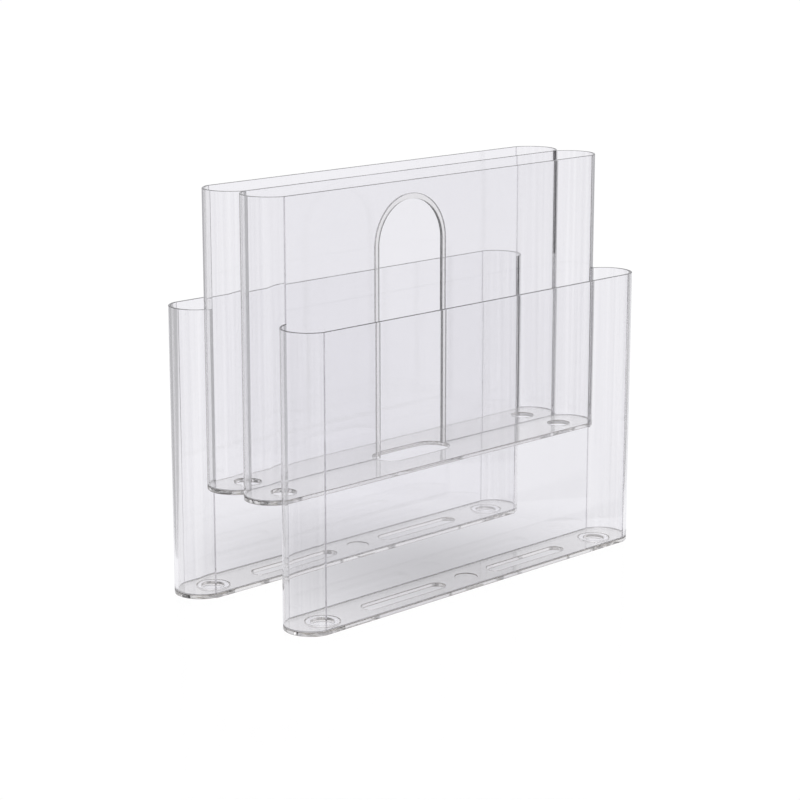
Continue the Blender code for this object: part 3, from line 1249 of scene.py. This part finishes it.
@dataclass
class FootRings:
    """The four turned rings that the rack stands on.

    Attributes:
        plan: The rack's sizes.
        shop: Where the pieces are dressed.
        inner_radius: Radius of a ring's bore.
        rounding: Radius of its edges.
        facets: Facets in each edge.
        steps: Chords round a ring.
        wall_tilt: How far a face leans from upright and still counts as a ring's wall.
    """

    plan: RackPlan
    shop: Workshop
    inner_radius: float = 0.00925
    rounding: float = 0.0006
    facets: int = 4
    steps: int = 96
    wall_tilt: float = 0.8

    def build(self) -> None:
        """Turn a ring and set it at the corners of a rectangle, as one piece for the one body."""
        plan = self.plan
        values = {
            "Spacing X": 2 * plan.ring_x,
            "Spacing Y": 2 * plan.ring_y,
            "Inner Radius": self.inner_radius,
            "Outer Radius": plan.ring_radius,
            "Height": plan.low_floor_top,
            "Rounding": self.rounding,
            "Steps": self.steps,
            "Finish": self.shop.finishes.made[Slot.RING],
        }
        tree = ShapeTree("foot_rings", values)
        bench, source = tree.bench, tree.source
        both = bench.sum("ADD", source["Inner Radius"], source["Outer Radius"])
        circle_feeds = {"Resolution": source["Steps"], "Radius": bench.sum("MULTIPLY", both, 0.5)}
        path = bench.add("GeometryNodeCurvePrimitiveCircle", circle_feeds).outputs["Curve"]
        wall = bench.sum("SUBTRACT", source["Outer Radius"], source["Inner Radius"])
        sweep = {"Curve": path, "Profile Curve": tree.section(wall, source["Height"], self.facets)}
        ring = bench.add("GeometryNodeCurveToMesh", sweep).outputs["Mesh"]
        lift = bench.add("ShaderNodeCombineXYZ", {"Z": bench.sum("MULTIPLY", source["Height"], 0.5)})
        standing = bench.add("GeometryNodeTransform", {"Geometry": ring, "Translation": lift.outputs[0]})
        grid = {"Size X": source["Spacing X"], "Size Y": source["Spacing Y"]}
        grid |= {"Vertices X": 2, "Vertices Y": 2}
        corners = bench.add("GeometryNodeMeshGrid", grid).outputs["Mesh"]
        copy = {"Points": corners, "Instance": standing.outputs["Geometry"]}
        mesh = tree.grow(bench.add("GeometryNodeInstanceOnPoints", copy).outputs["Instances"])
        nodes = [f"foot_ring_{row.word}_{side.name.lower()}" for row in Row for side in Side]

        def is_edge(middle: Vector, normal: Vector) -> bool:
            """A ring's upright walls."""
            return abs(normal.z) < self.wall_tilt

        self.shop.finish("foot_rings", mesh, Slot.RING, nodes, is_edge)


# Studio


@dataclass(frozen=True)
class Viewpoint:
    """Where the camera stands.

    Attributes:
        azimuth: Degrees round the rack. 0 looks along +Y.
        elevation: Degrees above the horizon.
        distance: From the point that it aims at.
        lens: Focal length in millimetres.
        sensor: Width of the sensor in millimetres.
        aim_right: How far the aim is to the right of the rack's axis, as the camera sees it.
        aim_up: Height of the aim.
    """

    azimuth: float = -45.0
    elevation: float = 13.12
    distance: float = 1.9705
    lens: float = 103.3
    sensor: float = 36.0
    aim_right: float = -0.00775
    aim_up: float = 0.14735

    def place(self) -> None:
        """Make the camera."""
        turn, rise = math.radians(self.azimuth), math.radians(self.elevation)
        back = Vector((math.sin(turn) * math.cos(rise), -math.cos(turn) * math.cos(rise), math.sin(rise)))
        right = Vector((math.cos(turn), math.sin(turn), 0.0))
        aim = right * self.aim_right + Vector((0.0, 0.0, self.aim_up))
        data = bpy.data.cameras.new("camera")
        data.lens = self.lens
        data.sensor_width = self.sensor
        data.clip_start = 0.05
        data.clip_end = 100.0
        camera = add_object("camera", data)
        camera.location = aim + back * self.distance
        camera.rotation_mode = "QUATERNION"
        camera.rotation_quaternion = (-back).to_track_quat("-Z", "Y")
        bpy.context.scene.camera = camera


@dataclass(frozen=True)
class Studio:
    """A bright backdrop between two grey flags, the usual light for clear plastic.

    The backdrop is behind the rack, as the camera stands. The flags on its left and right are what
    the rolled ends pick up, so they show as grey bands. The side round the camera is the brightest.

    Attributes:
        axis: Compass angle of the backdrop's middle, in degrees from +X towards +Y.
        stops: Brightness at an angle from the backdrop's middle, in degrees.
        tint: Colour of the surroundings.
        ceiling: Brightness overhead.
        ceiling_from: Sine of the elevation where the ceiling's shade begins.
        ceiling_to: Sine of the elevation where it is complete.
        white: Brightness of what the camera sees directly.
        strip: Half of the width of the bright strip of floor.
        floor_limit: Most brightness that the floor can have.
        floor_size: Side of the floor.
        floor_drop: How far the floor is below the rack's feet.
        shade: Share of its glow that the floor loses under the middle of the rack: a painted shadow.
        shade_reach: How far from there the floor is fully bright.
        gloss: Share of the floor's look that is a mirror image.
        gloss_roughness: How soft that image is.
        bounces: Most turns of a light path.
    """

    axis: float = 45.0
    stops: tuple[tuple[float, float], ...] = (
        (0.0, 0.93),
        (11.5, 0.91),
        (15.0, 0.45),
        (43.0, 0.43),
        (50.0, 0.75),
        (146.0, 0.76),
        (158.0, 2.40),
        (180.0, 2.40),
    )
    tint: Tint = (1.0, 0.993, 1.024)
    ceiling: float = 0.62
    ceiling_from: float = 0.30
    ceiling_to: float = 0.80
    white: float = 1.03
    strip: float = 0.26
    floor_limit: float = 0.93
    floor_size: float = 40.0
    floor_drop: float = 0.0001
    shade: float = 0.385
    shade_reach: float = 0.27
    gloss: float = 0.05
    gloss_roughness: float = 0.10
    bounces: int = 40

    def build(self) -> None:
        """Set the light, the floor and the light paths."""
        surround = self.surround()
        self.light(surround)
        self.floor(surround)
        scene = bpy.context.scene
        scene.view_settings.view_transform = "Standard"
        scene.view_settings.look = "None"
        scene.cycles.max_bounces = self.bounces
        scene.cycles.transmission_bounces = self.bounces
        scene.cycles.glossy_bounces = self.bounces
        scene.cycles.diffuse_bounces = 3
        scene.cycles.caustics_reflective = True
        scene.cycles.caustics_refractive = True
        scene.cycles.blur_glossy = 0.0
        scene.cycles.sample_clamp_indirect = 0.0
        scene.cycles.use_denoising = True

    def surround(self) -> bpy.types.NodeTree:
        """Brightness of the surroundings.

        Returns:
            A group that takes a direction, or a place on the floor and how wide its bright strip is.
        """
        bench, source, out = new_group("surround", {"Place": None, "Strip": 0.0}, "Level", "NodeSocketFloat")
        turn = math.radians(self.axis)
        measured = []
        for direction in ((math.cos(turn), math.sin(turn), 0.0), (math.sin(turn), -math.cos(turn), 0.0)):
            feeds = {0: source["Place"], 1: direction}
            product = bench.add("ShaderNodeVectorMath", feeds, operation="DOT_PRODUCT")
            measured.append(product.outputs["Value"])
        past_strip = bench.sum("SUBTRACT", bench.sum("ABSOLUTE", measured[1]), source["Strip"])
        angle = bench.sum("ARCTAN2", bench.sum("MAXIMUM", past_strip, 0.0), measured[0])
        ramp = bench.add("ShaderNodeValToRGB", {"Fac": bench.sum("DIVIDE", angle, math.pi)})
        brightest = max(level for _, level in self.stops)
        elements = ramp.color_ramp.elements
        while len(elements) < len(self.stops):
            elements.new(0.5)
        for element, (degrees, level) in zip(elements, self.stops):
            element.position = degrees / 180
            element.color = rgba((level / brightest,) * 3)
        bench.join(bench.sum("MULTIPLY", ramp.outputs["Color"], brightest), out)
        return bench.tree

    def glowing(self, bench: Bench, level: Any, colour: Any, strength: Any) -> None:
        """Feed a glow: plain white where the camera looks straight at it, and the surroundings' own
        tone where the rack stands in between.

        Args:
            bench: The tree to add the nodes to.
            level: Brightness of the surroundings.
            colour: The glow's colour input.
            strength: The glow's strength input.
        """
        direct = bench.add("ShaderNodeLightPath").outputs["Is Camera Ray"]
        bench.join(bench.mix(direct, rgba(self.tint), WHITE), colour)
        bench.join(bench.mix(direct, level, self.white, "FLOAT"), strength)

    def light(self, surround: bpy.types.NodeTree) -> None:
        """Make the surroundings.

        Args:
            surround: The group that gives their brightness.
        """
        world = bpy.data.worlds.new("bright_field")
        world.use_nodes = True
        bpy.context.scene.world = world
        bench = Bench(world.node_tree)
        background = world.node_tree.nodes["Background"]
        direction = bench.add("ShaderNodeTexCoord").outputs["Generated"]
        walls = bench.add("ShaderNodeGroup", {"Place": direction}, node_tree=surround).outputs["Level"]
        height = bench.add("ShaderNodeSeparateXYZ", {0: direction}).outputs["Z"]
        overhead = bench.remap(height, self.ceiling_from, self.ceiling_to)
        level = bench.mix(overhead, walls, self.ceiling, "FLOAT")
        self.glowing(bench, level, background.inputs["Color"], background.inputs["Strength"])

    def floor(self, surround: bpy.types.NodeTree) -> None:
        """Make the pale floor. It mirrors the rack faintly. It glows, though it is no lamp: plain white where
        the camera sees it directly. Where it is seen through the rack, its glow is painted light: bright
        along a strip under the backdrop, with the flags' grey beyond it and a painted shadow round the middle
        of the rack.

        Args:
            surround: The group that gives the brightness of the surroundings.
        """
        mesh = bpy.data.meshes.new("studio_floor")
        with opened(mesh) as shape:
            bmesh.ops.create_grid(shape, x_segments=1, y_segments=1, size=self.floor_size / 2)
        floor = add_object("studio_floor", mesh)
        floor.location.z = -self.floor_drop
        material = bpy.data.materials.new("pale_floor")
        material.use_nodes = True
        material.cycles.emission_sampling = "NONE"
        bench = Bench(material.node_tree)
        bench.tree.nodes.remove(bench.tree.nodes["Principled BSDF"])
        place = bench.add("ShaderNodeNewGeometry").outputs["Position"]
        feeds = {"Place": place, "Strip": self.strip}
        walls = bench.add("ShaderNodeGroup", feeds, node_tree=surround).outputs["Level"]
        away = bench.add("ShaderNodeVectorMath", {0: place}, operation="LENGTH").outputs["Value"]
        # Painted shadow: the floor's glow darkens smoothly towards the middle of the rack.
        painted_floor_shadow = bench.remap(away, 0.0, self.shade_reach, 1.0 - self.shade, 1.0)
        painted_floor_shadow.node.interpolation_type = "SMOOTHSTEP"
        level = bench.sum("MULTIPLY", bench.sum("MINIMUM", walls, self.floor_limit), painted_floor_shadow)
        glow = bench.add("ShaderNodeEmission")
        self.glowing(bench, level, glow.inputs["Color"], glow.inputs["Strength"])
        mirror = bench.add("ShaderNodeBsdfGlossy", {"Roughness": self.gloss_roughness})
        direct = bench.add("ShaderNodeLightPath").outputs["Is Camera Ray"]
        share = bench.sum("MULTIPLY", direct, self.gloss)
        both = bench.add("ShaderNodeMixShader", {0: share, 1: glow.outputs[0], 2: mirror.outputs[0]})
        bench.join(both.outputs[0], bench.tree.nodes["Material Output"].inputs["Surface"])
        mesh.materials.append(material)


def main() -> None:
    """Build the looks of the whole rack."""
    logging.basicConfig(level=logging.INFO, format="%(name)s: %(message)s")
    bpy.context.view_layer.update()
    Viewpoint().place()
    plan = RackPlan.from_frame()
    shop = Workshop(Finishes())
    for assembly in (OuterAndSharedPanes, RolledEnds, Floors, HandlePane, FootRings):
        assembly(plan, shop).build()
    Studio().build()
    log.info("%d pieces", len(shop.made))


if __name__ == "__main__":
    main()
